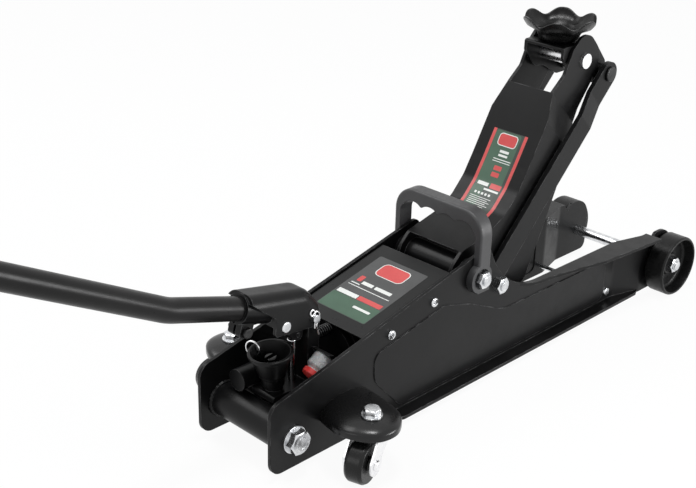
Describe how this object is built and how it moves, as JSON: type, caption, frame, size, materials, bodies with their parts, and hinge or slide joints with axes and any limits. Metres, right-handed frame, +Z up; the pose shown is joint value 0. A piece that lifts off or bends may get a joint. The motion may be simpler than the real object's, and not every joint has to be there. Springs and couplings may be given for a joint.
{
  "type": "hydraulic trolley jack",
  "caption": "Low trolley jack with pressed side plates, a levelling saddle on a hinged lift arm, a pump handle in a tilting socket, front wheels and rear casters.",
  "frame": {"origin": "middle of the bounding box on the floor, in the jack's middle plane", "axes": "+X forwards to the front wheels, +Y to the left, +Z up"},
  "size_m": [1.581, 0.278, 0.6292],
  "materials": {
    "black_paint": "semi-gloss black enamel over pressed steel",
    "cover_paint": "grey-green printed panel on painted sheet",
    "zinc_plate": "bright zinc plating",
    "polished_steel": "ground and polished steel",
    "cast_black": "black painted casting, fine sand texture",
    "moulded_grey": "dark grey moulded nylon",
    "grip_rubber": "ribbed black rubber",
    "caster_nylon": "black nylon tread",
    "clear_plastic": "milky translucent plastic",
    "red_plastic": "red moulded plastic"
  },
  "bodies": {
    "chassis": {"side_plate_right": "black_paint", "side_plate_left": "black_paint", "rear_cross_tube": "black_paint", "rear_tube_bolts": "zinc_plate", "rear_tube_washers": "zinc_plate", "tie_rod": "zinc_plate", "front_axle": "zinc_plate", "front_axle_collars": "zinc_plate", "front_axle_nuts": "zinc_plate", "cover_plate": "cover_paint", "cover_screws": "zinc_plate", "carry_handle": "moulded_grey", "arm_pivot_shaft": "zinc_plate", "arm_pivot_nuts": "zinc_plate", "link_pivot_studs": "zinc_plate", "link_pivot_nuts": "zinc_plate", "pump_block": "black_paint", "reservoir_tank": "black_paint", "ram_cylinder": "polished_steel", "tank_head": "black_paint", "filler_cup": "clear_plastic", "filler_cap": "red_plastic", "caster_bracket_right": "black_paint", "caster_bracket_left": "black_paint", "caster_bolts": "zinc_plate", "caster_bolt_nuts": "zinc_plate", "caster_bearings": "zinc_plate", "pump_spring": "zinc_plate"},
    "lift_arm": {"lift_arm": "black_paint", "lever_pin": "zinc_plate", "ram_roller": "zinc_plate", "saddle_pivot_pin": "zinc_plate"},
    "link_bars": {"link_bar_right": "black_paint", "link_bar_left": "black_paint"},
    "saddle_bracket": {"saddle_bracket": "black_paint", "link_pin": "zinc_plate"},
    "saddle": {"saddle": "cast_black", "saddle_clip": "zinc_plate"},
    "ram": {"ram_rod": "polished_steel"},
    "plunger": {"pump_plunger": "polished_steel"},
    "yoke": {"handle_socket": "black_paint", "yoke_pivot_pin": "zinc_plate", "yoke_cotters": "zinc_plate", "pump_roller": "zinc_plate", "socket_studs": "zinc_plate", "socket_clamp_bolt": "zinc_plate"},
    "handle": {"handle_tube_lower": "black_paint", "handle_tube_upper": "black_paint", "handle_sleeve": "black_paint", "handle_grip": "grip_rubber"},
    "release": {"release_cup": "black_paint", "release_fork": "zinc_plate"},
    "caster_fork_right": {"caster_fork_right": "zinc_plate", "caster_axle_right": "zinc_plate"},
    "caster_wheel_right": {"caster_wheel_right": "caster_nylon"},
    "caster_fork_left": {"caster_fork_left": "zinc_plate", "caster_axle_left": "zinc_plate"},
    "caster_wheel_left": {"caster_wheel_left": "caster_nylon"},
    "front_wheel_right": {"front_wheel_right": "cast_black"},
    "front_wheel_left": {"front_wheel_left": "cast_black"}
  },
  "joints": [
    {"name": "arm_lift", "type": "hinge", "parent": "chassis", "child": "lift_arm", "pos_m": [0.37612, 0, 0.131], "axis": [0, -1, 0], "range_deg": [-56, 20]},
    {"name": "link_swing", "type": "hinge", "parent": "chassis", "child": "link_bars", "pos_m": [0.41612, 0, 0.1095], "axis": [0, -1, 0], "range_deg": [-56, 20]},
    {"name": "saddle_level", "type": "hinge", "parent": "lift_arm", "child": "saddle_bracket", "pos_m": [0.58046, 0, 0.33678], "axis": [0, -1, 0], "range_deg": [-20, 56]},
    {"name": "saddle_turn", "type": "hinge", "parent": "saddle_bracket", "child": "saddle", "pos_m": [0.57116, 0, 0.35708], "axis": [0, 0, 1], "continuous": true},
    {"name": "ram_slide", "type": "slide", "parent": "chassis", "child": "ram", "axis": [1, 0, 0], "range_m": [-0.05562, 0.01993]},
    {"name": "yoke_pump", "type": "hinge", "parent": "chassis", "child": "yoke", "pos_m": [0.16082, 0, 0.141], "axis": [0, 1, 0], "range_deg": [0, 50]},
    {"name": "plunger_slide", "type": "slide", "parent": "chassis", "child": "plunger", "axis": [0, 0, 1], "range_m": [0, 0.01406]},
    {"name": "handle_twist", "type": "hinge", "parent": "yoke", "child": "handle", "pos_m": [0.09412, 0, 0.1677], "axis": [-0.9521, 0, 0.3057], "range_deg": [0, 90]},
    {"name": "release_turn", "type": "hinge", "parent": "chassis", "child": "release", "pos_m": [0.12312, 0, 0.066], "axis": [-0.1045, 0, 0.9945], "range_deg": [0, 90]},
    {"name": "caster_swivel_right", "type": "hinge", "parent": "chassis", "child": "caster_fork_right", "pos_m": [0.15812, -0.108, 0.053], "axis": [0, 0, 1], "continuous": true},
    {"name": "caster_roll_right", "type": "hinge", "parent": "caster_fork_right", "child": "caster_wheel_right", "pos_m": [0.13995, -0.11356, 0.023], "axis": [0.2924, -0.9563, 0], "continuous": true},
    {"name": "caster_swivel_left", "type": "hinge", "parent": "chassis", "child": "caster_fork_left", "pos_m": [0.15812, 0.108, 0.053], "axis": [0, 0, 1], "continuous": true},
    {"name": "caster_roll_left", "type": "hinge", "parent": "caster_fork_left", "child": "caster_wheel_left", "pos_m": [0.13995, 0.11356, 0.023], "axis": [0.2924, 0.9563, 0], "continuous": true},
    {"name": "front_roll_right", "type": "hinge", "parent": "chassis", "child": "front_wheel_right", "pos_m": [0.75052, -0.072, 0.04], "axis": [0, 1, 0], "continuous": true},
    {"name": "front_roll_left", "type": "hinge", "parent": "chassis", "child": "front_wheel_left", "pos_m": [0.75052, 0.072, 0.04], "axis": [0, 1, 0], "continuous": true}
  ],
  "couplings": [
    {"joint": "link_swing", "follows": "arm_lift", "ratio": 1},
    {"joint": "saddle_level", "follows": "arm_lift", "ratio": -1},
    {"joint": "ram_slide", "follows": "arm_lift", "m_per_rad": 0.0568},
    {"joint": "plunger_slide", "follows": "yoke_pump", "m_per_rad": 0.016},
    {"joint": "release_turn", "follows": "handle_twist", "ratio": 1}
  ]
}
